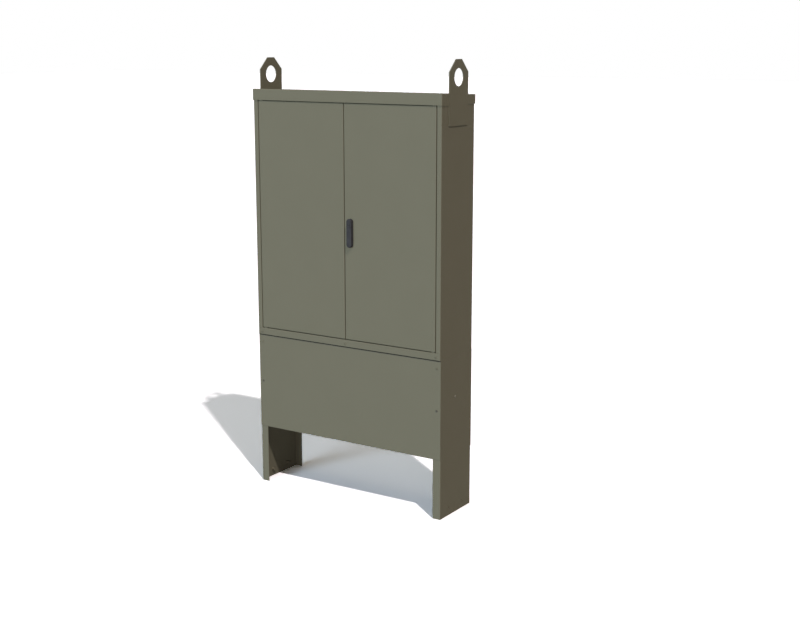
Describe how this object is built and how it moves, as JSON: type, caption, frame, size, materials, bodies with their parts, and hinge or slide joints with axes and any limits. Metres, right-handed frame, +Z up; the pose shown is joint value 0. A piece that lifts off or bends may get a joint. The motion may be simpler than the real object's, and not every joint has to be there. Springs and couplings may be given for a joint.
{
  "type": "telecom distribution cabinet",
  "caption": "Shallow outdoor steel telecom distribution cabinet with double doors and a swing handle, a low sloped roof with lifting lugs, on an open-legged pedestal.",
  "frame": {"origin": "on the ground, in the middle of the pedestal's footprint", "axes": "+Z up, -Y out of the doors, +X to the right as seen from in front"},
  "size_m": [1.007, 0.2965, 2.005],
  "materials": {
    "painted_steel": "moss grey powder coat, fine texture, satin",
    "galvanised_steel": "hot-dip galvanised sheet with faint spangle",
    "zinc_steel": "bright zinc plated",
    "black_rubber": "matt moulded rubber",
    "handle_plastic": "fine-grained dark grey moulding",
    "module_plastic": "light grey moulding",
    "bush_plastic": "moss grey acetal, turned",
    "coated_steel": "turned and coated with the cabinet",
    "copper_bar": "drawn copper bar",
    "insulator_plastic": "moulded insulator"
  },
  "bodies": {
    "cabinet": {"left_leg": "painted_steel", "right_leg": "painted_steel", "front_base_rail": "painted_steel", "rear_base_rail": "painted_steel", "base_front_cover": "painted_steel", "base_rear_cover": "painted_steel", "cover_screws": "painted_steel", "cable_clamp_rail": "galvanised_steel", "clamp_rail_screws": "painted_steel", "floor_tray": "painted_steel", "gland_plate": "galvanised_steel", "cable_grommets": "black_rubber", "left_side_panel": "painted_steel", "right_side_panel": "painted_steel", "back_panel": "painted_steel", "top_tray": "painted_steel", "centre_post": "painted_steel", "frame_bolts": "zinc_steel", "sill_screws": "painted_steel", "hinge_pins": "coated_steel", "roof": "painted_steel", "roof_supports": "galvanised_steel", "left_lifting_lug": "painted_steel", "right_lifting_lug": "painted_steel", "left_upright": "galvanised_steel", "right_upright": "galvanised_steel", "lower_mounting_rail": "galvanised_steel", "upper_mounting_rail": "galvanised_steel", "earth_bar": "copper_bar", "earth_bar_supports": "insulator_plastic", "earth_screws": "zinc_steel", "module_frame_1": "galvanised_steel", "module_frame_2": "galvanised_steel", "module_frame_3": "galvanised_steel", "module_frame_4": "galvanised_steel", "connection_modules_1": "module_plastic", "connection_modules_2": "module_plastic", "connection_modules_3": "module_plastic", "connection_modules_4": "module_plastic"},
    "left_door": {"left_door": "painted_steel", "left_door_stiffener": "painted_steel", "left_door_gasket": "black_rubber", "left_hinge_bushes": "bush_plastic", "left_bolt_guides": "galvanised_steel"},
    "left_upper_bolt": {"left_upper_bolt": "zinc_steel"},
    "left_lower_bolt": {"left_lower_bolt": "zinc_steel"},
    "right_door": {"right_door": "painted_steel", "right_door_stiffener": "painted_steel", "right_door_gasket": "black_rubber", "right_hinge_bushes": "bush_plastic", "handle_base": "handle_plastic", "handle_screws": "zinc_steel", "rod_guides": "galvanised_steel"},
    "handle_hub": {"handle_hub": "handle_plastic", "lever_pin": "zinc_steel", "lock_cam": "zinc_steel", "cam_screw": "zinc_steel"},
    "handle_lever": {"handle_lever": "handle_plastic"},
    "upper_lock_rod": {"upper_lock_rod": "zinc_steel"},
    "lower_lock_rod": {"lower_lock_rod": "zinc_steel"}
  },
  "joints": [
    {"name": "left_door_swing", "type": "hinge", "parent": "cabinet", "child": "left_door", "pos_m": [-0.46, -0.1285, 1.29], "axis": [0, 0, -1], "range_deg": [0, 110]},
    {"name": "right_door_swing", "type": "hinge", "parent": "cabinet", "child": "right_door", "pos_m": [0.46, -0.1285, 1.29], "axis": [0, 0, 1], "range_deg": [0, 110]},
    {"name": "left_upper_bolt_slide", "type": "slide", "parent": "left_door", "child": "left_upper_bolt", "axis": [0, 0, 1], "range_m": [0, 0.018]},
    {"name": "left_lower_bolt_slide", "type": "slide", "parent": "left_door", "child": "left_lower_bolt", "axis": [0, 0, -1], "range_m": [0, 0.018]},
    {"name": "handle_turn", "type": "hinge", "parent": "right_door", "child": "handle_hub", "pos_m": [0.0343, -0.1385, 1.298], "axis": [0, -1, 0], "range_deg": [0, 90]},
    {"name": "lever_flip", "type": "hinge", "parent": "handle_hub", "child": "handle_lever", "pos_m": [0.0343, -0.15015, 1.278], "axis": [-1, 0, 0], "range_deg": [0, 40]},
    {"name": "upper_rod_slide", "type": "slide", "parent": "right_door", "child": "upper_lock_rod", "axis": [0, 0, 1], "range_m": [0, 0.01698]},
    {"name": "lower_rod_slide", "type": "slide", "parent": "right_door", "child": "lower_lock_rod", "axis": [0, 0, -1], "range_m": [0, 0.01698]}
  ],
  "couplings": [
    {"joint": "upper_rod_slide", "follows": "handle_turn", "m_per_rad": 0.010804},
    {"joint": "lower_rod_slide", "follows": "handle_turn", "m_per_rad": 0.010804}
  ]
}
